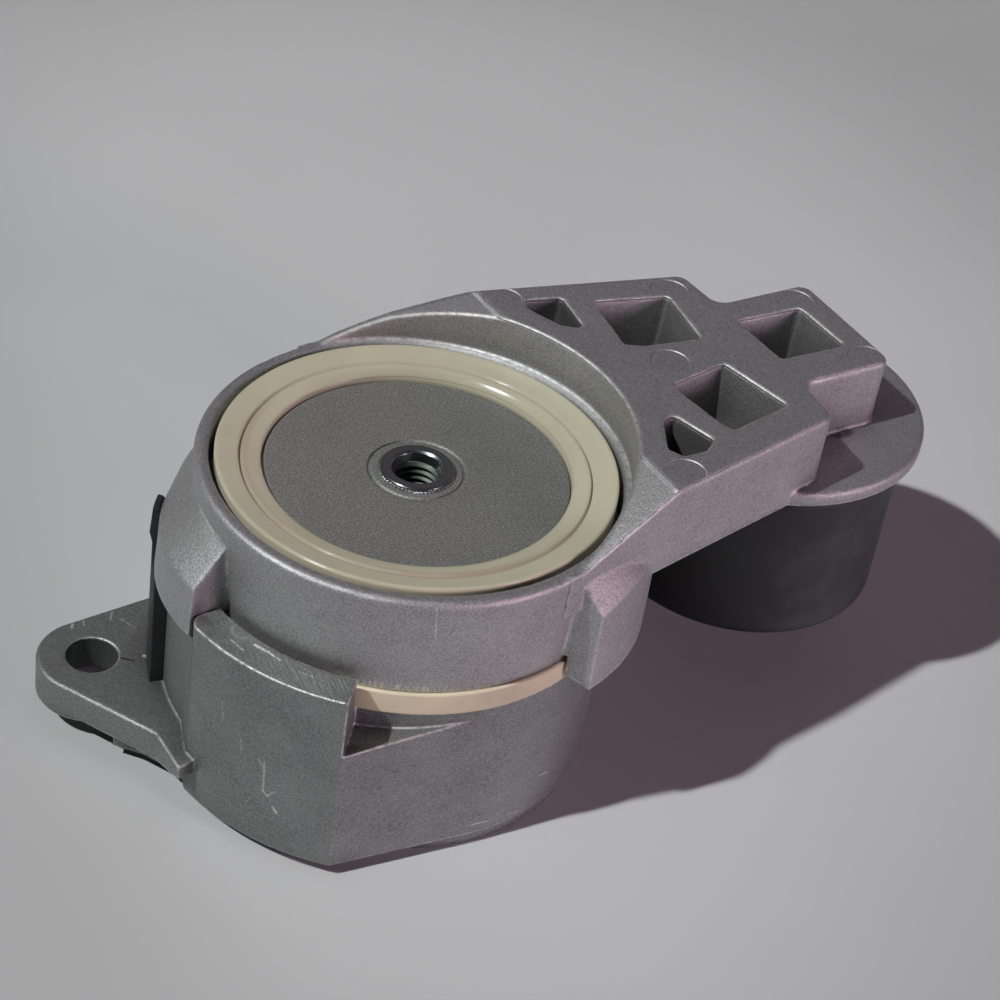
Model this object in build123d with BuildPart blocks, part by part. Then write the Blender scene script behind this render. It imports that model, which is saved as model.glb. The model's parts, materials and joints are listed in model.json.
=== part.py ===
"""Belt tensioner: a sprung, die-cast arm that carries a smooth idler pulley and swings on a spring case.

Millimetres. The pivot axis is Z, the underside of the case stands on Z = 0 and the pulley lies along +X at rest.
"""

from build123d import *
from math import acos, atan2, cos, degrees, hypot, radians, sin, tan
import os

os.makedirs("parts", exist_ok=True)

# Clearances and small edges
rest_gap = 0.3
ring_gap = 1.1
slide_gap = 0.2
running_gap = 0.04
skirt_gap = 0.5
wall_gap = 1.0
edge_r = 0.4
rim_edge_r = 1.0
cast_edge_r = 1.2

# Spring case: heights from the underside up, radii about the pivot axis
boss_h = 3.0
floor_t = 3.5
case_rim_z = 37.2
shoulder_rise = 3.1
wall_rise = 8.3
flank_drop = 2.3
flank_fall = 2.9
case_r = 42.3
boss_step = 0.7
case_wall = 4.8
shoulder_w = 5.7
bulge_w = 3.5
ear_boss_z = 5.0
ear_low_z = 6.4
ear_heel_z = 10.0
ear_t = 6.6

# Damping bushing, hub and skirt
damper_low_z = 14.0
damper_t = 1.2
damper_overhang = 0.6
damper_flange_t = 5.1
hub_h = 22.9
hub_draft = 1.7
hub_inset = 0.1
hub_wall = 4.2
hub_floor_t = 4.0
hub_under_h = 10.5
rim_w = 2.9
arm_low_h = 13.5
arm_t = 19.0
arm_recess_w = 1.4
skirt_edge_h = 10.7
skirt_slope_h = 8.3
skirt_w = 5.3
lug_clear = 0.4

# Disc and upper ring
disc_t = 3.8
flange_t = 2.0
ring_w = 9.2

case_floor_z = boss_h + floor_t
ear_top_z = ear_low_z + ear_t
shoulder_z = case_rim_z + shoulder_rise
wall_top_z = case_rim_z + wall_rise
flank_high_z = case_rim_z - flank_drop
flank_low_z = flank_high_z - flank_fall
hub_low_z = case_rim_z + damper_flange_t + slide_gap
hub_under_z = hub_low_z + hub_under_h
hub_floor_z = hub_under_z + hub_floor_t
arm_low_z = hub_low_z + arm_low_h
arm_top_z = arm_low_z + arm_t
rim_z = hub_low_z + hub_h
disc_z = hub_floor_z + slide_gap + flange_t + disc_t
skirt_low_z = shoulder_z + skirt_gap
skirt_edge_z = skirt_low_z + skirt_edge_h
skirt_top_z = skirt_edge_z + skirt_slope_h
lug_low_z = case_rim_z + lug_clear

boss_r = case_r - boss_step
case_cavity_r = case_r - case_wall
shoulder_r = case_r + shoulder_w
bulge_r = shoulder_r + bulge_w
damper_flange_r = case_r + damper_overhang
skirt_inner_r = damper_flange_r + skirt_gap
wall_inner_r = skirt_inner_r + wall_gap
hub_low_r = case_r - hub_inset
hub_top_r = hub_low_r + hub_draft
hub_cavity_r = hub_low_r - hub_wall
skirt_edge_r = hub_low_r + skirt_w
recess_r = hub_top_r - rim_w
arm_recess_r = recess_r + arm_recess_w
disc_r = recess_r - ring_gap - ring_w - slide_gap

# Angles about the pivot axis, in degrees
shoulder_start = 62.0
shoulder_end = 188.5
flare_start = 180.0
wall_start = 186.7
wall_end = 229.0

# Pivot: steel tube with a threaded upper end, bush and bores
pivot_r = 9.0
pivot_tip_step = 1.6
pivot_tip_rise = 0.9
disc_groove_r = 9.5
disc_groove_w = 0.8
disc_groove_depth = 0.25
thread_r = 5.0
thread_len = 24.0
bolt_way_step = 0.6
thread_chamfer = 0.5
bush_t = 1.6
post_wall = 4.5
post_z = 18.0
post_gap = 1.0
arm_tube_wall = 3.2

pivot_tip_r = pivot_r - pivot_tip_step
pivot_tip_z = disc_z + pivot_tip_rise
bolt_way_r = thread_r + bolt_way_step
post_r = pivot_r + post_wall

# Mounting ear
ear_hole_r = 5.4
ear_r = 11.3
ear_out = 13.8
ear_angle = 156.3
ear_toe_out = 2.6
ear_toe_y = -1.8
ear_toe_drop = 10.3
ear_web = ((-41.8, 32.6), (-58.7, 8.4), (-54.2, 3.5), (-51.7, -0.9), (-51.4, -4.0))
ear_edge_r = 0.7

ear_reach = shoulder_r + ear_out
ear_toe = (-bulge_r - ear_toe_out, ear_toe_y)

# Corner and flare at the left end of the case's wall
wall_corner_r = 3.0
flare_turn = 2.0
flare_drop = 0.25

# Skirt of the arm: its outline bulges to the left about a second centre, and it ends at two upright faces
bulge_centre = (-17.0, 1.5)
skirt_bulge_step = 13.8
skirt_slope = 39.8
skirt_draft = 2.7
left_end = 186.2
lug_end = ((12.4, -41.0), (16.1, -45.6))

skirt_bulge_r = skirt_edge_r - skirt_bulge_step

# Sections of the lug by the block: angle, top of its slope above the rim, thickness, ridge above the rim
lug_rise = 1.8
lug_sections = (
    (-74.0, -3.6, 4.8, -10.0),
    (-66.0, -1.1, 5.3, -8.4),
    (-56.0, 1.4, 5.8, -6.5),
    (-46.0, 2.1, 6.0, -5.9),
    (-33.0, 2.1, 6.0, -5.9),
)

# Arm: block, extension, plate and pockets
pulley_x = 87.2
block_short = 7.2
block_half_w = 27.9
block_corner_r = 3.0
extension_reach = 17.2
extension_half_w = 15.7
horn_angle = 96.0
near_slope = ((13.0, 0.0), (24.5, 0.5), (36.0, 1.0))
far_slope = ((0.0, 0.0), (15.0, 0.5625), (34.0, 1.0))
plate_lip = 3.3
plate_t = 3.1
pocket_depth = 13.5
pocket_draft = 7.0
pocket_corner_r = 1.2
pulley_boss_r = 11.5
pulley_boss_h = 13.0

block_end_x = pulley_x - block_short
extension_end_x = pulley_x + extension_reach

# Pulley and its ball bearing, a 17 x 47 x 14 mm size
pulley_rise = 7.0
pulley_gap = 1.7
pulley_w = 36.6
pulley_t = 3.0
pulley_edge_r = 2.2
web_t = 4.0
hub_t = 2.6
bearing_bore_r = 8.5
bearing_r = 23.5
bearing_w = 14.0
race_depth = 0.6
ball_r = 4.2
ball_count = 8
ball_gap = 0.1
cage_t = 2.4
seal_t = 0.9
seal_in = 0.5
bolt_r = 5.0
bolt_len = 31.0
bolt_flange_r = 12.0
bolt_flange_t = 2.2
bolt_head_af = 17.0
bolt_head_h = 6.5
shield_t = 0.8
shield_gap = 0.9
shield_drop = 0.5

race_t = (bearing_r - bearing_bore_r) / 2 - ball_r + race_depth
pulley_r = bearing_r + pulley_rise
plate_r = pulley_r + plate_lip
pulley_top_z = arm_low_z - pulley_gap
pulley_low_z = pulley_top_z - pulley_w
boss_low_z = arm_low_z - pulley_boss_h
bearing_mid_z = boss_low_z - bearing_w / 2
shield_r = bearing_r - shield_gap

# Torsion spring and its seat
wire_r = 2.9
wire_sides = 12
spring_room = 2.8
spring_turns = 4
seat_t = 2.6
seat_w = 9.0
stop_angle = 17.0

damper_r = case_cavity_r - slide_gap
spring_r = damper_r - damper_t - spring_room - wire_r

# Plastic rings and rubber strips
lip_inner_rise = 0.8
lip_outer_rise = 2.9
lip_groove_out = 4.1
lip_groove_w = 0.8
lip_groove_depth = 0.6
flange_inner_gap = 6.0
case_strip_t = 2.8
arm_strip_t = 1.6
arm_strip_low_z = 42.3
arm_strip_start = 139.5
arm_strip_end = 147.0
case_strip_start = 146.0
case_strip_end = 165.0

# The arm's pockets: opening corners, those of the end pocket from the pulley's axis
block_pocket = ((54.9, 25.4), (71.9, 21.6), (69.6, 5.2), (56.6, 7.0), (52.6, 9.0))
rib_pocket = ((41.2, 30.6), (49.4, 28.7), (47.8, 16.8), (43.6, 19.6), (40.2, 27.4))
end_pocket = ((-6.5, 8.5), (10.0, 8.0), (10.6, -7.6), (-5.8, -7.2))
near_block_pocket = ((53.7, -6.8), (68.9, -3.9), (73.0, -21.4), (57.0, -24.6), (55.8, -20.8))
near_rib_pocket = ((48.4, -15.7), (51.5, -25.8), (47.9, -28.4), (42.6, -28.3), (40.8, -25.1), (45.2, -16.9))


def polar(radius, angle):
    """A point at that distance from the pivot axis and that angle from +X."""
    return (radius * cos(radians(angle)), radius * sin(radians(angle)))


def upright(angle):
    """The upright plane through the pivot axis at that angle; its x axis points outwards and its y axis up."""
    way = polar(1, angle)
    return Plane(origin=(0, 0, 0), x_dir=(*way, 0), z_dir=(way[1], -way[0], 0))


def pie(radius, start, end, corner_r=0.0):
    """A slice of a disc about the pivot axis, with its first outer corner rounded."""
    with BuildSketch() as face:
        with BuildLine():
            rim = CenterArc((0, 0), radius, start, end - start)
            Line((0, 0), rim @ 0)
            Line(rim @ 1, (0, 0))
        make_face()
        if corner_r:
            fillet(face.vertices().sort_by_distance((*polar(radius, start), 0))[0], corner_r)
    return face.sketch


def tangent_point(radius, point):
    """Where the line from a point touches a circle about the pivot axis, on the side that lies anticlockwise."""
    angle = degrees(atan2(point[1], point[0])) + degrees(acos(radius / hypot(*point)))
    return polar(radius, angle)


# The spring case: a cast cup with an ear, a stop wall and a flank beside it
ear_centre = polar(ear_reach, ear_angle)
wall_corner = polar(bulge_r, wall_end)
flank_touch = tangent_point(case_r, wall_corner)
flank_len = hypot(flank_touch[0] - wall_corner[0], flank_touch[1] - wall_corner[1])
flank_way = ((flank_touch[0] - wall_corner[0]) / flank_len, (flank_touch[1] - wall_corner[1]) / flank_len)
flank_plane = Plane(origin=(*wall_corner, 0), x_dir=(*flank_way, 0), z_dir=(flank_way[1], -flank_way[0], 0))
bush_r = pivot_r + running_gap
arm_bore_r = bush_r + bush_t
shoulder_face = pie(shoulder_r, shoulder_start, shoulder_end)
wall_face = pie(bulge_r, wall_start, wall_end, wall_corner_r)
flare_end = polar(bulge_r - flare_drop, wall_start + flare_turn)

# The spring lies between a stop in the case, before its lower end, and one in the arm, past its upper end
spring_low_z = case_floor_z + seat_t + wire_r
spring_height = hub_under_z - slide_gap - wire_r - spring_low_z
spring_pitch = spring_height / spring_turns
stop_room = spring_pitch * (1 - stop_angle / 360) - rest_gap
stop_gap = degrees(rest_gap / spring_r)
case_stop_face = pie(spring_r + seat_w / 2, -stop_angle, -stop_gap)
arm_stop_face = pie(spring_r + seat_w / 2, stop_gap, stop_angle)

with BuildPart() as flank:
    with BuildSketch(Plane.XY.offset(boss_h)):
        with BuildLine():
            Polyline((0, 0), wall_corner, flank_touch, close=True)
        make_face()
    extrude(amount=flank_high_z - boss_h)
    with BuildSketch(flank_plane):
        with BuildLine():
            Polyline((0, flank_low_z), (flank_len, flank_high_z), (0, flank_high_z), close=True)
        make_face()
    extrude(amount=2 * bulge_r, both=True, mode=Mode.SUBTRACT)

with BuildPart() as ear:
    with BuildSketch(Plane.XY.offset(ear_low_z)):
        with BuildLine():
            nose = CenterArc(ear_centre, ear_r, 100, 115)
            Polyline(
                nose @ 1,
                ear_toe,
                (ear_toe[0], ear_toe[1] - ear_toe_drop),
                (0, 0),
                polar(shoulder_r, 127),
                nose @ 0,
            )
        make_face()
    extrude(amount=ear_top_z - ear_low_z)
    fillet(ear.faces().sort_by(Axis.Z)[-1].edges().filter_by(lambda e: e.center().X < ear_toe[0]), ear_edge_r)
    with BuildSketch(Plane.XY.offset(boss_h)):
        with BuildLine():
            Polyline((0, 0), *ear_web, close=True)
        make_face()
    extrude(amount=ear_low_z - boss_h + 1)
    with BuildSketch(Plane.YZ):
        with BuildLine():
            Polyline(
                (ear_toe[1], ear_low_z),
                (ear_toe[1] - ear_toe_drop, ear_low_z),
                (ear_toe[1] - ear_toe_drop, ear_heel_z),
                close=True,
            )
        make_face()
    extrude(amount=-ear_reach, mode=Mode.SUBTRACT)
    with BuildSketch(Plane.XY.offset(ear_boss_z)):
        with Locations(ear_centre):
            Circle(ear_r)
    extrude(amount=ear_low_z - ear_boss_z)

with BuildPart() as spring_case:
    with BuildSketch(Plane.XY.offset(boss_h)):
        Circle(case_r)
    extrude(amount=case_rim_z - boss_h)
    with BuildSketch(Plane.XY.offset(boss_h)):
        add(shoulder_face)
    extrude(amount=shoulder_z - boss_h)
    with BuildSketch(Plane.XY.offset(boss_h)):
        with BuildLine():
            Polyline((0, 0), polar(shoulder_r, flare_start), flare_end, close=True)
        make_face()
    extrude(amount=shoulder_z - boss_h)
    with BuildSketch(Plane.XY.offset(boss_h)):
        add(wall_face)
    extrude(amount=wall_top_z - boss_h)
    with BuildSketch(Plane.XY.offset(case_rim_z)):
        Circle(wall_inner_r)
    extrude(amount=wall_top_z, mode=Mode.SUBTRACT)
    add(flank.part)
    add(ear.part)
    with BuildSketch():
        Circle(boss_r)
    extrude(amount=boss_h)
    with BuildSketch(Plane.XY.offset(case_floor_z)):
        Circle(case_cavity_r)
        Circle(post_r, mode=Mode.SUBTRACT)
    extrude(amount=wall_top_z, mode=Mode.SUBTRACT)
    with BuildSketch(Plane.XY.offset(post_z)):
        Circle(case_cavity_r)
    extrude(amount=wall_top_z, mode=Mode.SUBTRACT)
    with BuildSketch(Plane.XY.offset(case_floor_z - 1)):
        add(case_stop_face)
        Circle(spring_r - seat_w / 2, mode=Mode.SUBTRACT)
    extrude(amount=seat_t + stop_room + 1)
    with BuildSketch():
        Circle(pivot_r)
        with Locations(ear_centre):
            Circle(ear_hole_r)
    extrude(amount=wall_top_z, mode=Mode.SUBTRACT)
spring_case.part.label = "spring_case"
export_step(spring_case.part, "parts/spring_case.step")

# The steel tube that everything turns on, with the threaded end
with BuildPart() as pivot_tube:
    with BuildSketch():
        Circle(pivot_r)
    extrude(amount=disc_z - disc_t)
    with BuildSketch():
        Circle(pivot_tip_r)
    extrude(amount=pivot_tip_z)
    chamfer(pivot_tube.faces().sort_by(Axis.Z)[-1].edges(), thread_chamfer / 2)
    with Locations((0, 0, pivot_tip_z)):
        Hole(bolt_way_r, depth=pivot_tip_z)
    with BuildSketch(Plane.XY.offset(pivot_tip_z - thread_len)):
        Circle(bolt_way_r + 0.2)
        Circle(thread_r, mode=Mode.SUBTRACT)
    extrude(amount=thread_len)
    chamfer(
        pivot_tube.faces().sort_by(Axis.Z)[-1].edges().filter_by(lambda e: e.radius < bolt_way_r),
        thread_chamfer,
    )
pivot_tube.part.label = "pivot_tube"
export_step(pivot_tube.part, "parts/pivot_tube.step")

# The disc that holds the arm down
with BuildPart() as cap_plate:
    with BuildSketch(Plane.XY.offset(disc_z - disc_t)):
        Circle(disc_r)
    extrude(amount=disc_t)
    fillet(cap_plate.faces().sort_by(Axis.Z)[-1].edges(), edge_r)
    with BuildSketch(Plane.XY.offset(disc_z)):
        Circle(disc_groove_r + disc_groove_w / 2)
        Circle(disc_groove_r - disc_groove_w / 2, mode=Mode.SUBTRACT)
    extrude(amount=-disc_groove_depth, mode=Mode.SUBTRACT)
    with BuildSketch(Plane.XY.offset(disc_z)):
        Circle(pivot_tip_r)
    extrude(amount=-disc_t, mode=Mode.SUBTRACT)
cap_plate.part.label = "cap_plate"
export_step(cap_plate.part, "parts/cap_plate.step")

# The upper plastic ring: a flange under the disc and a dished, grooved lip round it
lip_in = disc_r + slide_gap
lip_out = recess_r - ring_gap
lip_groove_r = lip_in + lip_groove_out
flange_inner_r = pivot_r + flange_inner_gap
lip_low = disc_z + lip_inner_rise
lip_high = disc_z + lip_outer_rise
groove_in = lip_groove_r - lip_groove_w / 2
groove_out = lip_groove_r + lip_groove_w / 2
groove_z = lip_low + (lip_high - lip_low) * (lip_groove_r - lip_in) / (lip_out - lip_in)
with BuildPart() as upper_thrust_ring:
    with BuildSketch(Plane.XZ):
        with BuildLine():
            Polyline(
                (flange_inner_r, hub_floor_z + slide_gap),
                (lip_out, hub_floor_z + slide_gap),
                (lip_out, lip_high),
                (groove_out, groove_z),
                (lip_groove_r, groove_z - lip_groove_depth),
                (groove_in, groove_z),
                (lip_in, lip_low),
                (lip_in, disc_z - disc_t),
                (flange_inner_r, disc_z - disc_t),
                close=True,
            )
        make_face()
    revolve(axis=Axis.Z)
    fillet(upper_thrust_ring.edges().sort_by(Axis.Z)[-1], edge_r)
upper_thrust_ring.part.label = "upper_thrust_ring"
export_step(upper_thrust_ring.part, "parts/upper_thrust_ring.step")

# The damping bushing: its flange is the strip that shows between case and hub
with BuildPart() as damping_bushing:
    with BuildSketch(Plane.XY.offset(damper_low_z)):
        Circle(damper_r)
    extrude(amount=case_rim_z - damper_low_z)
    with BuildSketch(Plane.XY.offset(case_rim_z)):
        Circle(damper_flange_r)
    extrude(amount=hub_low_z - slide_gap - case_rim_z)
    fillet(damping_bushing.edges().filter_by(GeomType.CIRCLE).group_by(SortBy.RADIUS)[-1], edge_r)
    with BuildSketch(Plane.XY.offset(damper_low_z)):
        Circle(damper_r - damper_t)
    extrude(amount=hub_low_z - damper_low_z, mode=Mode.SUBTRACT)
damping_bushing.part.label = "damping_bushing"
export_step(damping_bushing.part, "parts/damping_bushing.step")

# The torsion spring between the two stops, and its seat
with BuildPart() as torsion_spring:
    with BuildLine(Plane.XY.offset(spring_low_z)):
        coil = Helix(pitch=spring_pitch, height=spring_height, radius=spring_r)
    with BuildSketch(Plane(origin=coil @ 0, z_dir=coil % 0)):
        RegularPolygon(wire_r, wire_sides)
    sweep(path=coil, is_frenet=True)
torsion_spring.part.label = "torsion_spring"
export_step(torsion_spring.part, "parts/torsion_spring.step")

seat_face = pie(spring_r + seat_w / 2, 0, 360 - stop_angle - stop_gap)
with BuildPart() as spring_seat:
    with BuildSketch(Plane.XY.offset(case_floor_z)):
        add(seat_face)
        Circle(spring_r - seat_w / 2, mode=Mode.SUBTRACT)
    extrude(amount=seat_t)
spring_seat.part.label = "spring_seat"
export_step(spring_seat.part, "parts/spring_seat.step")

# The two rubber strips: one stands on the ear, one lies on the skirt above it
strip_face = pie(shoulder_r + case_strip_t, case_strip_start, case_strip_end)
with BuildPart() as case_buffer_strip:
    with BuildSketch(Plane.XY.offset(ear_top_z)):
        add(strip_face)
        Circle(shoulder_r, mode=Mode.SUBTRACT)
    extrude(amount=shoulder_z - ear_top_z)
case_buffer_strip.part.label = "case_buffer_strip"
export_step(case_buffer_strip.part, "parts/case_buffer_strip.step")

strip_low_r = skirt_bulge_r + (skirt_edge_z - arm_strip_low_z) * tan(radians(skirt_draft))
strip_plane = upright(arm_strip_start)
strip_plane.origin = (*bulge_centre, 0)
with BuildPart() as arm_buffer_strip:
    with BuildSketch(strip_plane) as strip_section:
        with BuildLine():
            Polyline(
                (strip_low_r, arm_strip_low_z),
                (strip_low_r + arm_strip_t / 2, arm_strip_low_z),
                (strip_low_r + arm_strip_t, arm_strip_low_z + 2 * arm_strip_t),
                (skirt_bulge_r + arm_strip_t, skirt_edge_z),
                (skirt_bulge_r, skirt_edge_z),
                close=True,
            )
        make_face()
        fillet(strip_section.vertices().group_by(Axis.Z)[-1].sort_by(Axis.X)[0], arm_strip_t * 0.6)
    revolve(axis=Axis((*bulge_centre, 0), (0, 0, 1)), revolution_arc=arm_strip_end - arm_strip_start)
arm_buffer_strip.part.label = "arm_buffer_strip"
export_step(arm_buffer_strip.part, "parts/arm_buffer_strip.step")

# The arm casting
spigot_low_z = bearing_mid_z - bearing_w / 2 + rest_gap
arm_tube_low_z = post_z + post_gap
hub_wall_r = recess_r + 1
hub_wall_z = hub_low_z + 1.5
block_touch = tangent_point(hub_top_r, (block_end_x, block_half_w))
block_angle = degrees(atan2(block_touch[1], block_touch[0]))
horn_face = pie(hub_top_r, block_angle - 1, horn_angle)
slope_side_y = hub_top_r + 1
gap_reach = 2 * shoulder_r
slope_h = arm_top_z - rim_z
end_corners = [(pulley_x + x, y) for x, y in end_pocket]
lug_len = hypot(lug_end[1][0] - lug_end[0][0], lug_end[1][1] - lug_end[0][1])
lug_way = ((lug_end[1][0] - lug_end[0][0]) / lug_len, (lug_end[1][1] - lug_end[0][1]) / lug_len)

with BuildPart() as plate:
    with BuildSketch(Plane.XY.offset(arm_low_z)):
        with Locations((pulley_x, 0)):
            Circle(plate_r)
    extrude(amount=plate_t)
    fillet(plate.faces().sort_by(Axis.Z)[-1].edges(), rim_edge_r)

with BuildPart() as hub:
    with BuildSketch(Plane.XZ) as hub_face:
        with BuildLine():
            Polyline(
                (arm_bore_r, arm_tube_low_z),
                (arm_bore_r + arm_tube_wall, arm_tube_low_z),
                (arm_bore_r + arm_tube_wall, hub_under_z),
                (hub_cavity_r, hub_under_z),
                (hub_cavity_r, hub_low_z),
                (hub_low_r, hub_low_z),
                (hub_top_r, rim_z),
                (recess_r, rim_z),
                (recess_r, hub_floor_z),
                (arm_bore_r, hub_floor_z),
                close=True,
            )
        make_face()
        fillet(hub_face.vertices().filter_by(lambda v: v.Y > rim_z - 1 and v.X > recess_r + 1), rim_edge_r)
        fillet(hub_face.vertices().filter_by(lambda v: v.Y > rim_z - 0.1 and v.X < recess_r + 1), edge_r)
    revolve(axis=Axis.Z)

# The skirt: a bulged outline that leans in above its ridge, cut open between its two upright ends
bulge_reach = hypot(*bulge_centre)
touch_turn = degrees(acos((skirt_edge_r - skirt_bulge_r) / bulge_reach))
bulge_angle = degrees(atan2(bulge_centre[1], bulge_centre[0]))
with BuildSketch(Plane.XY.offset(skirt_edge_z)) as skirt_face:
    with BuildLine():
        big = CenterArc((0, 0), skirt_edge_r, bulge_angle + touch_turn, 360 - 2 * touch_turn)
        small = CenterArc(bulge_centre, skirt_bulge_r, bulge_angle - touch_turn, 2 * touch_turn)
        Line(big @ 1, small @ 0)
        Line(small @ 1, big @ 0)
    make_face()

with BuildPart() as lug:
    for angle, top_h, thickness, ridge_h in lug_sections:
        with BuildSketch(upright(angle)):
            with BuildLine():
                Polyline(
                    (recess_r, lug_low_z + lug_rise),
                    (skirt_inner_r, lug_low_z + lug_rise),
                    (skirt_inner_r + thickness, lug_low_z),
                    (skirt_inner_r + thickness, rim_z + ridge_h),
                    (hub_top_r, rim_z + top_h),
                    (recess_r, rim_z + top_h),
                    close=True,
                )
            make_face()
    loft()

with BuildPart() as skirt:
    add(skirt_face.sketch)
    extrude(amount=skirt_top_z - skirt_edge_z, taper=skirt_slope)
    add(skirt_face.sketch)
    extrude(amount=skirt_low_z - skirt_edge_z, taper=-skirt_draft)
    add(lug.part)
    with BuildSketch(Plane.XY.offset(lug_low_z)):
        with BuildLine():
            Polyline(
                (0, 0),
                polar(gap_reach, left_end),
                (-gap_reach, -gap_reach),
                (lug_end[0][0] + gap_reach * lug_way[0], lug_end[0][1] + gap_reach * lug_way[1]),
                (lug_end[0][0] - hub_low_r * lug_way[0], lug_end[0][1] - hub_low_r * lug_way[1]),
                close=True,
            )
        make_face()
    extrude(amount=arm_top_z, mode=Mode.SUBTRACT)
    with BuildSketch(Plane.XY.offset(lug_low_z)):
        Circle(skirt_inner_r)
    extrude(amount=hub_wall_z - lug_low_z, mode=Mode.SUBTRACT)

# The wedge that is missing above the block: its slope is steeper and starts later on the near side
with BuildPart() as slope:
    for side, points in ((-slope_side_y, near_slope), (slope_side_y, far_slope)):
        with BuildSketch(Plane.XZ.offset(-side)):
            with BuildLine():
                Polyline(
                    (-recess_r, rim_z),
                    *[(x, rim_z + share * slope_h) for x, share in points],
                    (points[-1][0], arm_top_z + 1),
                    (-recess_r, arm_top_z + 1),
                    close=True,
                )
            make_face()
    loft(ruled=True)

with BuildPart() as tensioner_arm:
    with BuildSketch(Plane.XY.offset(arm_low_z)) as block_face:
        with BuildLine():
            Polyline(
                (0, 0),
                block_touch,
                (block_end_x, block_half_w),
                (block_end_x + 1, extension_half_w),
                (extension_end_x, extension_half_w),
                (extension_end_x, -extension_half_w),
                (block_end_x + 1, -extension_half_w),
                (block_end_x, -block_half_w),
                (block_touch[0], -block_touch[1]),
                close=True,
            )
        make_face()
        fillet(block_face.vertices().filter_by(lambda v: v.X > block_touch[0] + 1), block_corner_r)
    extrude(amount=arm_top_z - arm_low_z)
    fillet(
        tensioner_arm.faces().sort_by(Axis.Z)[-1].edges().filter_by(lambda e: e.center().X > near_slope[0][0]),
        cast_edge_r,
    )
    with BuildSketch(Plane.XY.offset(rim_z - rim_edge_r)):
        add(horn_face)
    extrude(amount=arm_top_z - rim_z + rim_edge_r)
    add(slope.part, mode=Mode.SUBTRACT)
    with BuildSketch(Plane.XY.offset(arm_top_z)) as pocket_faces:
        for corners in (block_pocket, rib_pocket, end_corners, near_block_pocket, near_rib_pocket):
            with BuildLine():
                Polyline(*corners, close=True)
            make_face()
        fillet(pocket_faces.vertices(), pocket_corner_r)
    extrude(amount=-pocket_depth, taper=pocket_draft, mode=Mode.SUBTRACT)
    add(skirt.part)
    with BuildSketch(Plane.XY.offset(rim_z)):
        Circle(arm_recess_r)
    extrude(amount=arm_top_z, mode=Mode.SUBTRACT)
    with BuildSketch(Plane.XY.offset(lug_low_z)):
        Circle(hub_wall_r)
    extrude(amount=arm_top_z, mode=Mode.SUBTRACT)
    add(plate.part)
    add(hub.part)
    with BuildSketch(Plane.XY.offset(boss_low_z)):
        with Locations((pulley_x, 0)):
            Circle(pulley_boss_r)
    extrude(amount=arm_low_z + 1 - boss_low_z)
    with BuildSketch(Plane.XY.offset(spigot_low_z)):
        with Locations((pulley_x, 0)):
            Circle(bearing_bore_r)
    extrude(amount=boss_low_z + 1 - spigot_low_z)
    with BuildSketch(Plane.XY.offset(spigot_low_z)):
        with Locations((pulley_x, 0)):
            Circle(bolt_r)
    extrude(amount=bolt_len + 0.5, mode=Mode.SUBTRACT)
    with BuildSketch(Plane.XY.offset(hub_under_z - stop_room)):
        add(arm_stop_face)
        Circle(spring_r - seat_w / 2, mode=Mode.SUBTRACT)
    extrude(amount=stop_room + 1)
tensioner_arm.part.label = "tensioner_arm"
export_step(tensioner_arm.part, "parts/tensioner_arm.step")

# The plain bush between the arm and the tube
with BuildPart() as pivot_bushing:
    with BuildSketch(Plane.XY.offset(arm_tube_low_z)):
        Circle(arm_bore_r)
        Circle(bush_r, mode=Mode.SUBTRACT)
    extrude(amount=hub_floor_z - arm_tube_low_z)
pivot_bushing.part.label = "pivot_bushing"
export_step(pivot_bushing.part, "parts/pivot_bushing.step")

# The pulley's bolt, from below, and the dust shield that it clamps
ring_low_z = bearing_mid_z - bearing_w / 2
shield_low_z = ring_low_z - shield_t
flange_low_z = shield_low_z - bolt_flange_t
with BuildPart() as pulley_bolt:
    with BuildSketch(Plane(origin=(pulley_x, 0, flange_low_z - bolt_head_h))):
        RegularPolygon(bolt_head_af / 2, 6, major_radius=False)
    extrude(amount=bolt_head_h)
    with BuildSketch(Plane(origin=(pulley_x, 0, flange_low_z))):
        Circle(bolt_flange_r)
    extrude(amount=bolt_flange_t)
    with BuildSketch(Plane(origin=(pulley_x, 0, shield_low_z))):
        Circle(bolt_r)
    extrude(amount=spigot_low_z + bolt_len - shield_low_z)
    chamfer(pulley_bolt.faces().sort_by(Axis.Z)[-1].edges(), edge_r)
pulley_bolt.part.label = "pulley_bolt"
export_step(pulley_bolt.part, "parts/pulley_bolt.step")

with BuildPart() as dust_shield:
    with BuildSketch(Plane(origin=(pulley_x, 0, 0), x_dir=(1, 0, 0), z_dir=(0, -1, 0))):
        with BuildLine():
            Polyline(
                (bolt_r + slide_gap, shield_low_z),
                (bolt_flange_r, shield_low_z),
                (bolt_flange_r + shield_drop, shield_low_z - shield_drop),
                (shield_r, shield_low_z - shield_drop),
                (shield_r, ring_low_z - shield_drop),
                (bolt_flange_r + shield_drop, ring_low_z - shield_drop),
                (bolt_flange_r, ring_low_z),
                (bolt_r + slide_gap, ring_low_z),
                close=True,
            )
        make_face()
    revolve(axis=Axis((pulley_x, 0, 0), (0, 0, 1)))
dust_shield.part.label = "dust_shield"
export_step(dust_shield.part, "parts/dust_shield.step")

# The ball bearing: two grooved rings, balls, cage and seals
pitch_r = (bearing_bore_r + bearing_r) / 2
groove_r = ball_r + ball_gap
with BuildPart() as race_groove:
    with BuildSketch(Plane.XZ):
        with Locations((pulley_x + pitch_r, bearing_mid_z)):
            Circle(groove_r)
    revolve(axis=Axis((pulley_x, 0, 0), (0, 0, 1)))

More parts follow.
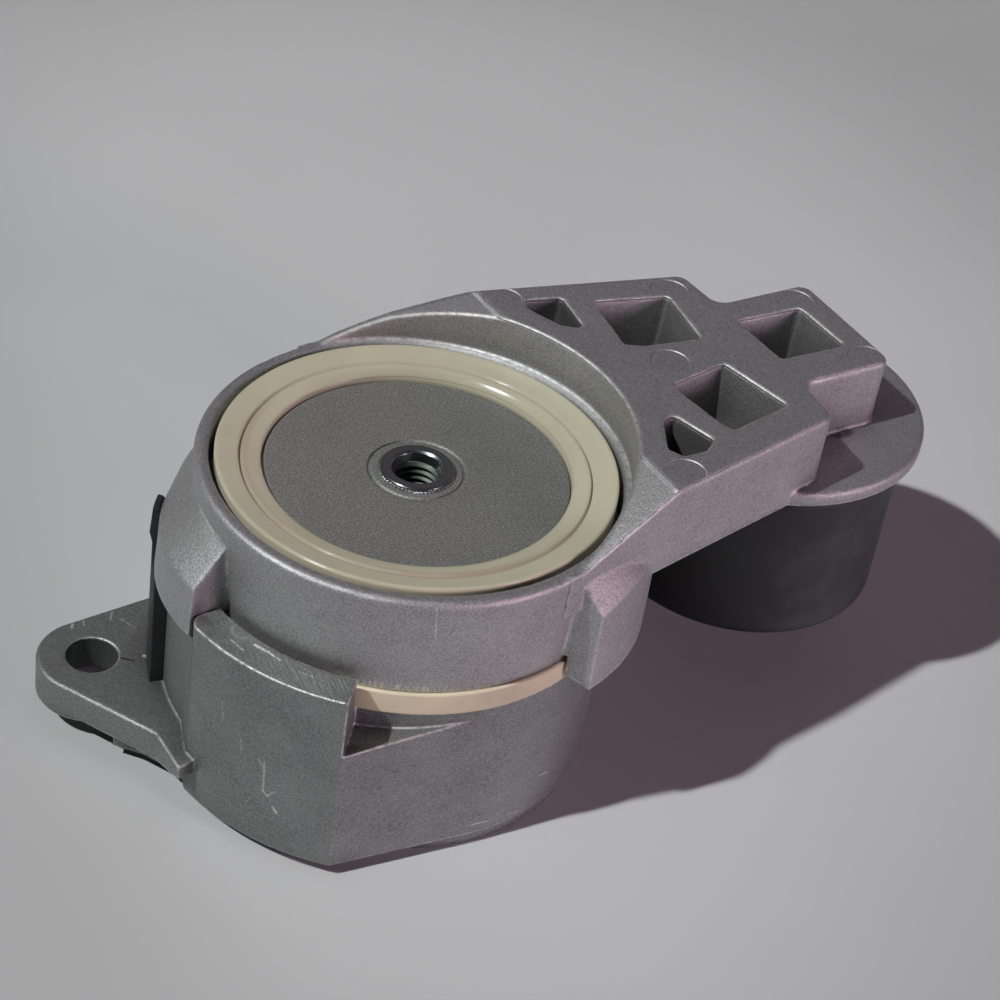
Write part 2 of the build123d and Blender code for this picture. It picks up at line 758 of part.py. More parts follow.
with BuildPart() as bearing_inner_ring:
    with BuildSketch(Plane.XY.offset(ring_low_z)):
        with Locations((pulley_x, 0)):
            Circle(bearing_bore_r + race_t)
            Circle(bearing_bore_r, mode=Mode.SUBTRACT)
    extrude(amount=bearing_w)
    add(race_groove.part, mode=Mode.SUBTRACT)
bearing_inner_ring.part.label = "bearing_inner_ring"
export_step(bearing_inner_ring.part, "parts/bearing_inner_ring.step")

with BuildPart() as bearing_outer_ring:
    with BuildSketch(Plane.XY.offset(ring_low_z)):
        with Locations((pulley_x, 0)):
            Circle(bearing_r)
            Circle(bearing_r - race_t, mode=Mode.SUBTRACT)
    extrude(amount=bearing_w)
    add(race_groove.part, mode=Mode.SUBTRACT)
bearing_outer_ring.part.label = "bearing_outer_ring"
export_step(bearing_outer_ring.part, "parts/bearing_outer_ring.step")

with BuildPart() as bearing_balls:
    with Locations((pulley_x, 0, bearing_mid_z)):
        with PolarLocations(pitch_r, ball_count):
            Sphere(ball_r)
bearing_balls.part.label = "bearing_balls"
export_step(bearing_balls.part, "parts/bearing_balls.step")

cage_half_h = bearing_w / 2 - seal_in - seal_t - rest_gap
with BuildPart() as ball_cage:
    with BuildSketch(Plane.XY.offset(bearing_mid_z - cage_half_h)):
        with Locations((pulley_x, 0)):
            Circle(pitch_r + cage_t / 2)
            Circle(pitch_r - cage_t / 2, mode=Mode.SUBTRACT)
    extrude(amount=2 * cage_half_h)
    with Locations((pulley_x, 0, bearing_mid_z)):
        with PolarLocations(pitch_r, ball_count):
            Cylinder(groove_r, 2 * groove_r, rotation=(0, 90, 0), mode=Mode.SUBTRACT)
ball_cage.part.label = "ball_cage"
export_step(ball_cage.part, "parts/ball_cage.step")

seal_in_r = bearing_bore_r + race_t + slide_gap
with BuildPart() as upper_seal:
    with BuildSketch(Plane.XY.offset(boss_low_z - seal_in - seal_t)):
        with Locations((pulley_x, 0)):
            Circle(bearing_r - race_t)
            Circle(seal_in_r, mode=Mode.SUBTRACT)
    extrude(amount=seal_t)
upper_seal.part.label = "upper_seal"
export_step(upper_seal.part, "parts/upper_seal.step")

with BuildPart() as lower_seal:
    with BuildSketch(Plane.XY.offset(ring_low_z + seal_in)):
        with Locations((pulley_x, 0)):
            Circle(bearing_r - race_t)
            Circle(seal_in_r, mode=Mode.SUBTRACT)
    extrude(amount=seal_t)
lower_seal.part.label = "lower_seal"
export_step(lower_seal.part, "parts/lower_seal.step")

# The pulley: a smooth rim on a web and a hub that holds the bearing
with BuildPart() as pulley_shell:
    with BuildSketch(Plane.XY.offset(pulley_low_z)):
        with Locations((pulley_x, 0)):
            Circle(pulley_r)
    extrude(amount=pulley_w)
    fillet(pulley_shell.edges().filter_by(GeomType.CIRCLE), pulley_edge_r)
    for low_z, high_z in ((bearing_mid_z + web_t / 2, pulley_top_z), (pulley_low_z, bearing_mid_z - web_t / 2)):
        with BuildSketch(Plane.XY.offset(low_z)):
            with Locations((pulley_x, 0)):
                Circle(pulley_r - pulley_t)
        extrude(amount=high_z - low_z, mode=Mode.SUBTRACT)
    with BuildSketch(Plane.XY.offset(ring_low_z)):
        with Locations((pulley_x, 0)):
            Circle(bearing_r + hub_t)
    extrude(amount=bearing_w)
    with BuildSketch(Plane.XY.offset(pulley_low_z)):
        with Locations((pulley_x, 0)):
            Circle(bearing_r)
    extrude(amount=pulley_w, mode=Mode.SUBTRACT)
pulley_shell.part.label = "pulley_shell"
export_step(pulley_shell.part, "parts/pulley_shell.step")
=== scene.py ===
import json
import math

import bpy
from mathutils import Matrix, Vector


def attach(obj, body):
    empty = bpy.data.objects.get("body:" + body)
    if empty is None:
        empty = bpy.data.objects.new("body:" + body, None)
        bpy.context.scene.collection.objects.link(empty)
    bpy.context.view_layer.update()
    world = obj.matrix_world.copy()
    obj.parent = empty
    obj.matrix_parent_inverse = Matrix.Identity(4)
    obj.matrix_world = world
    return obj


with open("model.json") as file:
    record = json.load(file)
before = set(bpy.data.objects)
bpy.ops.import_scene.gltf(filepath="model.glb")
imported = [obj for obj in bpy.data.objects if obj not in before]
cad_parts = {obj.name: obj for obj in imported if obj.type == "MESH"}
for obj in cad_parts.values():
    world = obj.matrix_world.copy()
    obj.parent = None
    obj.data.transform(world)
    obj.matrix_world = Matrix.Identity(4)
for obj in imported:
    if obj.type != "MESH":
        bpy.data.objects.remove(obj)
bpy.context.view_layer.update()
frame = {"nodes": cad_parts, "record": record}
nodes = frame["nodes"]


PULLEY_AXIS = (0.0872, 0.0)

# Tones that lie over the bare aluminium: the edge and scratch tones also serve as painted highlight, the grime
# tone also as painted shade
SPARKLE = (0.75, 0.75, 0.75)
WORN_EDGE_AND_HIGHLIGHT = (0.85, 0.85, 0.84)
GRIME_AND_SHADE = (0.06, 0.055, 0.055)
FRESH_SCRATCH_AND_HIGHLIGHT = (0.92, 0.92, 0.90)

# Marks seen in the photo, in millimetres: start, end, width, strength
CASE_SCRATCHES = (
    # on the stop wall's top
    ((-42.5, -17.4, 45.5), (-41.1, -20.1, 45.5), 0.45, 1.6),
    ((-41.1, -20.1, 45.5), (-40.0, -23.0, 45.5), 0.3, 1.0),
    ((-46.0, -14.4, 45.5), (-45.2, -17.8, 45.5), 0.3, 0.7),
    ((-38.0, -27.4, 45.5), (-36.4, -29.6, 45.5), 0.25, 0.5),
    # on the stop wall's outer face
    ((-43.7, -27.3, 24.0), (-43.6, -27.5, 17.0), 0.35, 0.55),
    ((-44.4, -26.0, 24.2), (-43.6, -27.4, 22.6), 0.25, 0.5),
    ((-43.7, -27.3, 16.9), (-42.9, -28.5, 15.9), 0.35, 0.6),
    ((-42.9, -28.5, 16.4), (-42.1, -29.6, 17.9), 0.25, 0.5),
    ((-42.2, -29.5, 13.6), (-41.7, -30.2, 12.6), 0.45, 0.7),
    ((-46.5, -22.2, 27.0), (-46.3, -22.5, 24.5), 0.25, 0.4),
    ((-48.5, -17.3, 33.0), (-48.3, -17.9, 29.5), 0.25, 0.3),
    # on the drum's front
    ((-32.2, -40.3, 32.0), (-31.4, -40.9, 12.0), 0.25, 0.35),
    ((-10.9, -40.9, 5.0), (-1.9, -42.3, 5.3), 0.25, 0.6),
    ((-1.9, -42.3, 5.3), (7.4, -41.7, 4.3), 0.25, 0.5),
    ((12.4, -40.5, 11.4), (15.0, -39.6, 10.6), 0.35, 0.6),
    # on the ear
    ((-56.1, 35.9, 13.0), (-57.1, 34.2, 13.0), 0.4, 0.8),
    ((-53.9, 36.0, 13.0), (-54.5, 33.8, 13.0), 0.3, 0.7),
    ((-48.8, 33.6, 13.0), (-47.4, 35.8, 13.0), 0.3, 0.5),
    ((-46.7, 33.4, 13.0), (-45.1, 29.4, 13.0), 0.25, 0.5),
    ((-46.9, 20.7, 13.0), (-46.5, 20.3, 13.0), 0.6, 1.0),
)
EAR_DIRT = ((-51.3, 21.8, 13.0), (-49.4, 20.0, 13.0), 0.5)
ARM_SCRATCHES = (
    # on the hub's front
    ((-18.0, -39.8, 64.6), (-17.3, -39.7, 57.0), 0.3, 0.5),
    ((10.7, -41.6, 46.5), (11.8, -41.2, 49.5), 0.25, 0.5),
    ((8.6, -42.2, 49.5), (9.8, -41.8, 52.0), 0.25, 0.4),
    ((-12.4, -42.0, 63.0), (-11.0, -42.2, 61.0), 0.25, 0.4),
    ((-25.0, -35.0, 50.0), (-23.5, -36.0, 53.0), 0.2, 0.3),
    # on the right lug and the block's top
    ((31.9, -38.5, 45.9), (22.3, -43.7, 41.6), 0.3, 0.4),
    ((60.9, -2.5, 75.0), (63.0, -4.4, 75.0), 0.2, 0.3),
)
PAD_R = 0.0040
PADS = ((37.2, 32.6), (73.4, 23.5), (58.4, 0.6), (97.8, 10.9), (99.8, -12.7), (40.1, -32.5))


# Shader building blocks
class Shader:
    """A material's node tree with short names for the nodes that the finishes share."""

    def __init__(self, name):
        self.material = bpy.data.materials.new(name)
        self.material.use_nodes = True
        self.tree = self.material.node_tree
        self.tree.nodes.clear()
        self.out = self.tree.nodes.new("ShaderNodeOutputMaterial")
        self.bsdf = self.tree.nodes.new("ShaderNodeBsdfPrincipled")
        self.link(self.bsdf.outputs["BSDF"], self.out.inputs["Surface"])
        self.place = self.node("TexCoord").outputs["Object"]

    def node(self, kind):
        return self.tree.nodes.new("ShaderNode" + kind)

    def link(self, source, socket):
        self.tree.links.new(source, socket)

    def feed(self, socket, value):
        """Links an output to a socket, or sets a constant on it."""
        if isinstance(value, bpy.types.NodeSocket):
            self.link(value, socket)
        elif isinstance(value, (tuple, list)) and len(value) == 3 and socket.type == "RGBA":
            socket.default_value = (*value, 1)
        else:
            socket.default_value = value

    def math(self, operation, a, b=0.0, c=0.0, clamp=False):
        n = self.node("Math")
        n.operation = operation
        n.use_clamp = clamp
        for socket, value in zip(n.inputs, (a, b, c)):
            self.feed(socket, value)
        return n.outputs[0]

    def times(self, first, *others):
        product = first
        for other in others:
            product = self.math("MULTIPLY", product, other)
        return product

    def vector(self, operation, a, b=(0, 0, 0), scale=None):
        n = self.node("VectorMath")
        n.operation = operation
        self.feed(n.inputs[0], a)
        self.feed(n.inputs[1], b)
        if scale is not None:
            self.feed(n.inputs["Scale"], scale)
        return n.outputs["Value"] if operation in ("LENGTH", "DISTANCE", "DOT_PRODUCT") else n.outputs[0]

    def noise(self, scale, detail=3.0, rough=0.55, place=None):
        n = self.node("TexNoise")
        self.link(place or self.place, n.inputs["Vector"])
        self.feed(n.inputs["Scale"], scale)
        self.feed(n.inputs["Detail"], detail)
        self.feed(n.inputs["Roughness"], rough)
        return n.outputs["Fac"]

    def remap(self, value, low, high, to_low=0.0, to_high=1.0, smooth=True):
        n = self.node("MapRange")
        n.interpolation_type = "SMOOTHSTEP" if smooth else "LINEAR"
        for socket, v in zip(n.inputs, (value, low, high, to_low, to_high)):
            self.feed(socket, v)
        return n.outputs[0]

    def mix(self, factor, a, b):
        n = self.node("Mix")
        n.data_type = "RGBA"
        factor_in, first_color, second_color = n.inputs[0], n.inputs[6], n.inputs[7]
        self.feed(factor_in, factor)
        self.feed(first_color, a)
        self.feed(second_color, b)
        return n.outputs[2]

    def axes(self, place=None):
        n = self.node("SeparateXYZ")
        self.link(place or self.place, n.inputs[0])
        return n.outputs[0], n.outputs[1], n.outputs[2]

    def join(self, x, y, z):
        n = self.node("CombineXYZ")
        for socket, v in zip(n.inputs, (x, y, z)):
            self.feed(socket, v)
        return n.outputs[0]

    def along(self, way, origin=None):
        """How far the point lies along a way, counted from an origin."""
        place = self.place if origin is None else self.vector("SUBTRACT", self.place, origin)
        return self.vector("DOT_PRODUCT", place, way)

    def radius(self, centre=(0.0, 0.0)):
        """Distance from an upright axis."""
        x, y, _ = self.axes(self.vector("SUBTRACT", self.place, (*centre, 0)))
        return self.vector("LENGTH", self.join(x, y, 0.0))

    def near_radius(self, radius, middle, inner, outer):
        """1 within inner of a circle, 0 beyond outer."""
        gap = self.math("ABSOLUTE", self.math("SUBTRACT", radius, middle))
        return self.remap(gap, inner, outer, 1, 0)

    def rounded(self, radius):
        """The normal as if every sharp edge had this radius."""
        bevel = self.node("Bevel")
        bevel.samples = 8
        bevel.inputs["Radius"].default_value = radius
        return bevel.outputs[0]

    def edge(self, radius, low=0.02, high=0.35):
        """How near a sharp edge the point is, 1 on the edge and 0 away from it, and the rounded normal."""
        rounded = self.rounded(radius)
        normal = self.node("NewGeometry").outputs["Normal"]
        apart = self.math("SUBTRACT", 1.0, self.vector("DOT_PRODUCT", rounded, normal))
        return self.remap(apart, low, high), rounded

    def bump(self, height, depth, strength, normal):
        n = self.node("Bump")
        n.inputs["Strength"].default_value = strength
        n.inputs["Distance"].default_value = depth
        self.link(height, n.inputs["Height"])
        self.link(normal, n.inputs["Normal"])
        return n.outputs[0]

    def streak(self, start, end, width):
        """1 along a thin scratch between two points given in millimetres, 0 elsewhere."""
        a = Vector(start) / 1000
        way = Vector(end) / 1000 - a
        from_start = self.vector("SUBTRACT", self.place, tuple(a))
        share = self.math("MULTIPLY", self.vector("DOT_PRODUCT", from_start, tuple(way)), 1 / way.length_squared,
                          clamp=True)
        nearest = self.vector("SCALE", tuple(way), scale=share)
        gap = self.vector("DISTANCE", from_start, nearest)
        return self.remap(gap, width * 0.0003, width * 0.001, 1, 0)

    def scratches(self, lines):
        """The strongest of several scratches, broken up along their length."""
        found = 0.0
        for start, end, width, strength in lines:
            found = self.math("MAXIMUM", found, self.times(self.streak(start, end, width), strength))
        return self.times(found, self.remap(self.noise(1900, 2), 0.40, 0.55, 0.3, 1.0))

    def pads(self, places, size):
        """Round pads on the top face, sunk at their far edge and flush at their near edge: 1 is flush."""
        step = 0.00035
        far_way = (0.64, 0.77, 0)
        found = 1.0
        for x, y in places:
            centre = (x / 1000, y / 1000)
            outside = self.remap(self.radius(centre), size - step, size + step)
            tilt = self.remap(self.along(far_way, (*centre, 0)), -size, size, 1, 0, smooth=False)
            found = self.math("MINIMUM", found, self.math("MAXIMUM", outside, tilt))
        return found

    def finish(self, color, rough, metallic=0.0, normal=None, **others):
        self.feed(self.bsdf.inputs["Base Color"], color)
        self.feed(self.bsdf.inputs["Roughness"], rough)
        self.feed(self.bsdf.inputs["Metallic"], metallic)
        if normal is not None:
            self.link(normal, self.bsdf.inputs["Normal"])
        for name, value in others.items():
            self.feed(self.bsdf.inputs[name.replace("_", " ")], value)
        return self.material


# The castings
def cast_metal(name, dull, bright, metallic, rough, marks, edge_radius):
    """Die-cast aluminium: a blasted, sparkling grain, a mottled skin, edges lightened by rubbing and by a painted
    highlight, painted shade in the hollows outside the hub, and the part's own marks.
    """
    grain_depth, swell_depth, line_depth = 0.00009, 0.00006, 0.00012
    nook_reach = 0.014
    outside_hub = (0.047, 0.049)
    s = Shader(name)
    near_edge, rounded = s.edge(edge_radius, 0.01, 0.2)
    grain = s.noise(2500, 2, 0.6)
    flecks = s.noise(3300, 1, 0.5)
    mottle = s.noise(70, 5, 0.6)
    scratch, dent, stain, lines = marks(s)
    base = s.mix(s.remap(mottle, 0.35, 0.65), dull, bright)
    base = s.mix(s.remap(grain, 0.38, 0.62, 0.0, 0.42), base, [c * 1.7 for c in bright])
    base = s.mix(s.remap(flecks, 0.28, 0.42, 0.5, 0.0), base, [c * 0.45 for c in dull])
    base = s.mix(s.remap(flecks, 0.66, 0.76, 0.0, 0.4), base, SPARKLE)
    # Edges lightened: partly wear, partly a painted highlight along every rounded edge
    worn_and_highlight = s.times(near_edge, s.remap(s.noise(700, 3), 0.35, 0.6, 0.2, 1.0))
    base = s.mix(s.times(worn_and_highlight, 0.8), base, WORN_EDGE_AND_HIGHLIGHT)
    # Painted shade: hollows outside the hub, found by ambient occlusion, are darkened towards the grime tone,
    # together with the marks' stains
    nook = s.node("AmbientOcclusion")
    nook.samples = 8
    nook.inputs["Distance"].default_value = nook_reach
    deep = s.times(s.remap(nook.outputs["AO"], 0.35, 0.85, 0.62, 0.0), s.remap(s.radius(), *outside_hub))
    base = s.mix(s.math("MAXIMUM", stain, deep), base, GRIME_AND_SHADE)
    base = s.mix(scratch, base, FRESH_SCRATCH_AND_HIGHLIGHT)
    height = s.math("ADD", s.times(grain, grain_depth), s.times(s.noise(650, 2), swell_depth))
    height = s.math("ADD", s.math("ADD", height, dent), s.times(lines, line_depth))
    skin = s.remap(mottle, 0.3, 0.7, rough + 0.04, rough - 0.04)
    return s.finish(base, skin, metallic, s.bump(height, 1.0, 1.0, rounded))


def faint_stains(s):
    return s.times(s.remap(s.noise(420, 3), 0.67, 0.74), 0.2)


def case_marks(s):
    """The case's scratches, stains and tool lines, and a thin light ring painted as a highlight round an ejector
    mark; it has no dents.
    """
    crescent_centre, crescent_r = (-0.0428, -0.0128), 0.0021
    x, _, z = s.axes()
    scratch = s.scratches(CASE_SCRATCHES)
    stain = s.math("MAXIMUM", s.times(s.streak(*EAR_DIRT), 0.8), faint_stains(s))
    on_wall = s.remap(z, 0.0453, 0.0454)
    near_ear = s.remap(x, -0.0435, -0.0425, 1, 0)
    # Painted highlight: a thin light ring round an ejector mark on the wall's top, passed on with the scratches
    crescent_highlight = s.near_radius(s.radius(crescent_centre), crescent_r, 0.0002, 0.0005)
    crescent_highlight = s.times(crescent_highlight, on_wall, near_ear)
    # The lines run nearly along Y, so their noise hardly changes that way
    lines_at = s.join(s.along((0.98, -0.18, 0.0)), s.along((0.018, 0.098, 0.0)), 0.0)
    tool_lines = s.times(s.noise(1900, 1, 0.5, lines_at), on_wall)
    tool_lines = s.times(tool_lines, s.remap(s.noise(180, 2), 0.35, 0.6, 0.3, 2.2))
    return s.math("MAXIMUM", scratch, s.times(crescent_highlight, 0.18)), 0.0, stain, tool_lines


def arm_marks(s):
    """The arm's scratches, dents, stains, a dark patch of painted shade on the plate under the block's extension,
    and the serrated band at the hub's foot.
    """
    pad_depth = 0.00045
    patch_x, patch_y, patch_z = 0.0945, -0.0165, 0.0591
    x, y, z = s.axes()
    scratch = s.scratches(ARM_SCRATCHES)
    on_top = s.remap(z, 0.0745, 0.0748)
    dent = s.times(s.pads(PADS, PAD_R), on_top, pad_depth)
    # Painted shade: a dark patch on the plate in the corner under the block's extension, passed on with the
    # stains
    from_patch = s.join(s.times(s.math("SUBTRACT", x, patch_x), 0.5), s.math("SUBTRACT", y, patch_y),
                        s.math("SUBTRACT", z, patch_z))
    shade_patch = s.remap(s.vector("LENGTH", from_patch), 0.0008, 0.0024, 1, 0)
    shade_patch = s.times(shade_patch, s.remap(s.noise(300, 3), 0.3, 0.5, 0.4, 0.9))
    stain = s.math("MAXIMUM", shade_patch, faint_stains(s))
    turn = s.math("ARCTAN2", y, x)
    level = s.times(s.remap(z, 0.0438, 0.0452, 1, 0), s.remap(z, 0.0424, 0.0427))
    stretch = s.times(s.remap(turn, -2.46, -2.36), s.remap(turn, -1.95, -1.75, 1, 0))
    ragged = s.noise(1900, 2, 0.6, s.join(s.times(turn, 0.0425), s.times(z, 0.15), 0.0))
    serrated = s.times(ragged, s.times(level, stretch))
    scratch = s.math("MAXIMUM", scratch, s.times(s.remap(serrated, 0.48, 0.62), 0.45))
    return scratch, dent, stain, s.times(serrated, 3.0)


# The other finishes
def turned_metal(name, color, rough, centre=(0.0, 0.0)):
    s = Shader(name)
    near_edge, rounded = s.edge(0.0004)
    rings = s.noise(1500, 2, 0.6, s.join(s.radius(centre), s.axes()[2], 0.0))
    base = s.mix(s.remap(rings, 0.3, 0.7), [c * 0.8 for c in color], color)
    base = s.mix(s.times(near_edge, 0.6), base, (0.9, 0.89, 0.87))
    return s.finish(base, s.remap(rings, 0.3, 0.7, rough - 0.06, rough + 0.08), 0.95,
                    s.bump(rings, 0.00003, 0.5, rounded))


def grey_disc(name):
    s = Shader(name)
    speck = s.noise(2700, 2, 0.6)
    fine = s.noise(3400, 1, 0.5)
    cloud = s.noise(40, 4, 0.6)
    base = s.mix(s.remap(speck, 0.36, 0.64), (0.25, 0.258, 0.245), (0.44, 0.452, 0.43))
    base = s.mix(s.remap(fine, 0.62, 0.72, 0, 0.7), base, (0.75, 0.75, 0.72))
    base = s.mix(s.remap(cloud, 0.4, 0.7, 0, 0.2), base, (0.22, 0.22, 0.22))
    return s.finish(base, 0.58, 0.75, s.bump(speck, 0.00009, 1.0, s.rounded(0.0009)))


def cream_ring(name):
    """A glossy moulded ring, dished by a smooth step on its far side, with a brownish line of painted shade on
    its near side, where the step faces away from the lamp.
    """
    line_r = 0.0343
    dish_inner_r, dish_outer_r, dish_depth = 0.0287, 0.0339, 0.0026
    far_way = (0.857, 0.515, 0)
    s = Shader(name)
    radius = s.radius()
    base = s.mix(s.remap(s.noise(45, 4, 0.6), 0.35, 0.7), (0.56, 0.53, 0.40), (0.51, 0.48, 0.36))
    far_side = s.math("DIVIDE", s.along(far_way), radius)
    # Painted shade: a brownish line on the near side, where the step turns away from the lamp
    painted_step_shade = s.times(s.near_radius(radius, line_r, 0.0002, 0.0016),
                   s.remap(s.noise(70, 2), 0.3, 0.6, 0.25, 0.75), s.remap(far_side, -0.35, 0.3, 1, 0))
    base = s.mix(painted_step_shade, base, (0.47, 0.36, 0.28))
    dish = s.times(s.remap(radius, dish_inner_r, dish_outer_r, 0.0, dish_depth),
                   s.remap(far_side, 0.0, 0.8, 0.06, 1.0))
    normal = s.bump(dish, 1.0, 1.0, s.rounded(0.0012))
    return s.finish(base, 0.19, 0.0, s.bump(s.noise(300, 2), 0.00002, 0.5, normal), Subsurface_Weight=0.1,
                    Subsurface_Scale=0.002)


def nylon(name, color, rough):
    s = Shader(name)
    base = s.mix(s.remap(s.noise(45, 4, 0.6), 0.35, 0.7), color, [c * 0.86 for c in color])
    normal = s.bump(s.noise(500, 2), 0.00002, 0.4, s.rounded(0.0005))
    return s.finish(base, rough, 0.0, normal, Subsurface_Weight=0.08, Subsurface_Scale=0.002)


def dark_plastic(name, color, rough, dusty_and_shaded=False):
    """Black plastic or rubber; with dust and shade set, it is greyer on its right side and darker on its left,
    with a ragged border: partly dust, partly painted shade.
    """
    s = Shader(name)
    cloud = s.noise(55, 5, 0.65)
    base = s.mix(s.remap(cloud, 0.4, 0.75), color, [c * 1.6 + 0.012 for c in color])
    if dusty_and_shaded:
        # Left side darkened with a ragged border: partly dust, partly painted shade from the arm
        side = s.along((0.73, -0.68, 0), (*PULLEY_AXIS, 0))
        ragged = s.math("MULTIPLY_ADD", s.noise(90, 3), 0.03, side)
        base = s.mix(s.remap(ragged, 0.021, 0.032, 1.0, 0.0), base, [c * 0.6 for c in color])
    return s.finish(base, s.remap(cloud, 0.3, 0.7, rough + 0.1, rough - 0.05), 0.0,
                    s.bump(s.noise(700, 3), 0.00004, 0.5, s.rounded(0.0006)))


finishes = {
    "case": cast_metal("case_aluminium", (0.225, 0.235, 0.233), (0.275, 0.285, 0.282), metallic=0.86, rough=0.56,
                       marks=case_marks, edge_radius=0.0011),
    "arm": cast_metal("arm_aluminium", (0.37, 0.37, 0.375), (0.43, 0.43, 0.435), metallic=0.93, rough=0.58,
                      marks=arm_marks, edge_radius=0.0017),
    "machined_steel": turned_metal("machined_steel", (0.30, 0.32, 0.33), 0.28),
    "thread": turned_metal("thread_steel", (0.12, 0.145, 0.13), 0.55),
    "disc_steel": grey_disc("disc_steel"),
    "cream_nylon": cream_ring("cream_nylon"),
    "peach_nylon": nylon("peach_nylon", (0.78, 0.70, 0.51), 0.4),
    "spring_steel": turned_metal("spring_steel", (0.16, 0.16, 0.17), 0.42),
    "black_rubber": dark_plastic("black_rubber", (0.012, 0.012, 0.014), 0.6),
    "bolt_steel": turned_metal("bolt_steel", (0.58, 0.57, 0.53), 0.34, PULLEY_AXIS),
    "bearing_steel": turned_metal("bearing_steel", (0.70, 0.70, 0.72), 0.2, PULLEY_AXIS),
    "pulley_plastic": dark_plastic("pulley_plastic", (0.022, 0.024, 0.026), 0.5, dusty_and_shaded=True),
    "seal_rubber": dark_plastic("seal_rubber", (0.02, 0.02, 0.022), 0.6),
    "bush_bronze": turned_metal("bush_bronze", (0.50, 0.37, 0.20), 0.4),
    "cage_plastic": dark_plastic("cage_plastic", (0.10, 0.08, 0.06), 0.5),
}
slots = {entry["node"]: entry["material_slot"] for entry in frame["record"]["subparts"]}
slots.update({"spring_case": "case", "tensioner_arm": "arm"})
for name, obj in nodes.items():
    for place in obj.material_slots:
        place.material = finishes[slots[name]]


# The thread in the insert and the knurled collar round its foot
def piece(name, points, faces, finish):
    mesh = bpy.data.meshes.new(name)
    mesh.from_pydata(points, [], faces)
    mesh.update()
    obj = bpy.data.objects.new(name, mesh)
    obj.data.materials.append(finish)
    bpy.context.scene.collection.objects.link(obj)
    return obj


def on_circle(radius, angle, z):
    return radius * math.cos(angle), radius * math.sin(angle), z


thread_top, thread_low, pitch = 0.0631, 0.0402, 0.0015
thread_major, thread_minor = 0.00502, 0.0043
thread_section = ((thread_major, 0.0), (thread_minor, 0.42), (thread_minor, 0.58), (thread_major, 0.99))
steps_per_turn = 48
steps = (int((thread_top - thread_low) / pitch) - 1) * steps_per_turn
points, faces = [], []
for i in range(steps + 1):
    angle = 2 * math.pi * i / steps_per_turn
    rise = thread_low + pitch * i / steps_per_turn
    for radius, lift in thread_section:
        points.append(on_circle(radius, angle, rise + lift * pitch))
for i in range(steps):
    for j in range(4):
        a, b = 4 * i + j, 4 * i + (j + 1) % 4
        faces.append((a, b, b + 4, a + 4))
last = 4 * steps
faces.append((3, 2, 1, 0))
faces.append((last, last + 1, last + 2, last + 3))
thread = piece("pivot_thread_ridge", points, faces, finishes["thread"])
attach(thread, "base")

teeth = 60
collar_low, collar_shoulder, collar_top = 0.06295, 0.06335, 0.06345
collar_inner, tooth_root, tooth_tip, tooth_draft = 0.00742, 0.0076, 0.0079, 0.0001
points, faces = [], []
for i in range(2 * teeth):
    angle = math.pi * i / teeth
    outer = tooth_tip if i % 2 else tooth_root
    for radius, z in ((collar_inner, collar_low), (outer, collar_low), (outer - tooth_draft, collar_shoulder),
                      (collar_inner, collar_top)):
        points.append(on_circle(radius, angle, z))
for i in range(2 * teeth):
    following = (i + 1) % (2 * teeth)
    for j in range(4):
        k = (j + 1) % 4
        faces.append((4 * i + j, 4 * following + j, 4 * following + k, 4 * i + k))
collar = piece("insert_knurl", points, faces, finishes["machined_steel"])
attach(collar, "base")

# The stage: one pale sheet, with painted shade making it a little darker away from the middle of the camera's
# view
sheet_half = 3
view_middle = (0.060, 0.053, 0)
view_way, view_across = (0.588, 0.809, 0), (0.862, -0.507, 0)
view_half_width, view_widening, view_least = 0.113, 0.18, 0.08
floor_mesh = bpy.data.meshes.new("floor")
floor_mesh.from_pydata([(-sheet_half, -sheet_half, 0), (sheet_half, -sheet_half, 0), (sheet_half, sheet_half, 0),
                        (-sheet_half, sheet_half, 0)], [], [(0, 1, 2, 3)])
floor = bpy.data.objects.new("floor", floor_mesh)
bpy.context.scene.collection.objects.link(floor)
sheet = Shader("floor_sheet")
shade = sheet.mix(sheet.remap(sheet.noise(6, 3), 0.3, 0.7), (0.590, 0.603, 0.606), (0.618, 0.632, 0.636))
# Painted shade: the sheet's tone falls off towards the edges of the view, standing in for light falloff
deep = sheet.along(view_way, view_middle)
half_width = sheet.math("MAXIMUM", sheet.math("MULTIPLY_ADD", deep, view_widening, view_half_width), view_least)
across = sheet.math("DIVIDE", sheet.along(view_across, view_middle), half_width)
apart = sheet.vector("LENGTH", sheet.join(across, sheet.math("MULTIPLY_ADD", deep, 5.26, -0.263), 0.0))
shade = sheet.vector("SCALE", shade, scale=sheet.remap(apart, 0.8, 1.5, 1, 0.8))
floor.data.materials.append(sheet.finish(shade, 0.8))

# Light: one small lamp from the upper left, a weak pink one from the lower right, a dim room
LIT_PLACE = Vector((0.03, 0.0, 0.03))


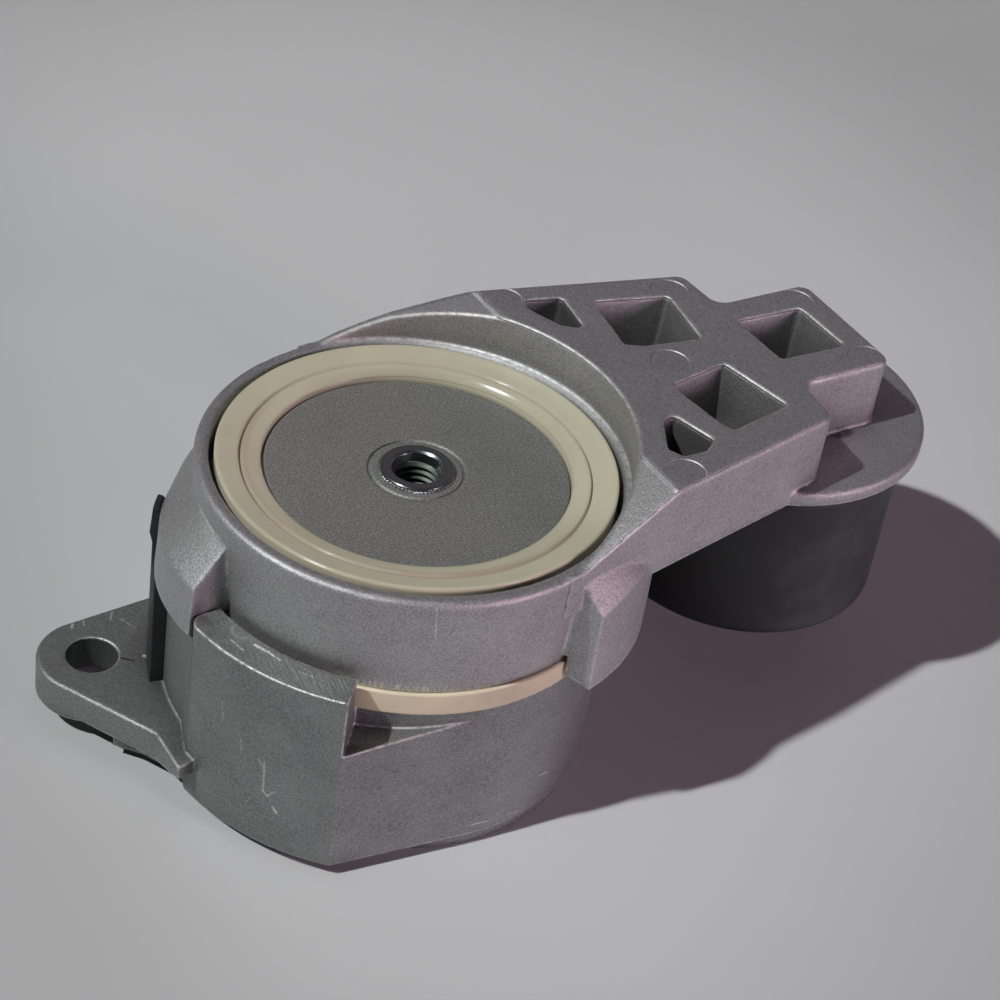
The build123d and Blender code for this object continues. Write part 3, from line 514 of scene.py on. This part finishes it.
def lamp(name, place, size, power, color, spread):
    data = bpy.data.lights.new(name, "AREA")
    data.spread = math.radians(spread)
    data.shape = "DISK"
    data.size = size
    data.energy = power
    data.color = color
    obj = bpy.data.objects.new(name, data)
    aim = (Vector(place) - LIT_PLACE).to_track_quat("Z", "Y").to_matrix().to_4x4()
    obj.matrix_world = Matrix.Translation(place) @ aim
    bpy.context.scene.collection.objects.link(obj)


lamp("key", (-2.34, 0.09, 3.09), size=0.12, power=114.0, color=(0.985, 1.0, 0.995), spread=180)
lamp("fill", (0.96, -1.80, 0.42), size=0.7, power=1.25, color=(1.0, 0.71, 0.84), spread=45)

# The room glows faintly from behind the part, where the castings' tops mirror it
glow_way = (0.47, 0.65, 0.60)
glow_range = (0.3, 1.0, 0.008, 0.118)
glow_color = (1.0, 0.84, 0.95, 1)
world = bpy.data.worlds.new("room")
world.use_nodes = True
room = world.node_tree
facing = room.nodes.new("ShaderNodeVectorMath")
facing.operation = "DOT_PRODUCT"
facing.inputs[1].default_value = glow_way
room.links.new(room.nodes.new("ShaderNodeTexCoord").outputs["Generated"], facing.inputs[0])
glow = room.nodes.new("ShaderNodeMapRange")
glow.interpolation_type = "SMOOTHSTEP"
for socket, value in zip(list(glow.inputs)[1:5], glow_range):
    socket.default_value = value
room.links.new(facing.outputs["Value"], glow.inputs[0])
room.links.new(glow.outputs[0], room.nodes["Background"].inputs[1])
room.nodes["Background"].inputs[0].default_value = glow_color
bpy.context.scene.world = world

# The camera
camera_place = (-0.212195, -0.321042, 0.348621)
camera_turn = Matrix(((0.85503778, 0.22020785, -0.46948791),
                      (-0.50270017, 0.57421685, -0.64619467),
                      (0.12729073, 0.78853251, 0.60167563)))
camera_data = bpy.data.cameras.new("camera")
camera_data.sensor_width = 36
camera_data.lens = 87.655
camera_data.clip_start = 0.01
camera = bpy.data.objects.new("camera", camera_data)
camera.matrix_world = Matrix.Translation(camera_place) @ camera_turn.to_4x4()
bpy.context.scene.collection.objects.link(camera)
bpy.context.scene.camera = camera
bpy.context.scene.view_settings.view_transform = "Standard"
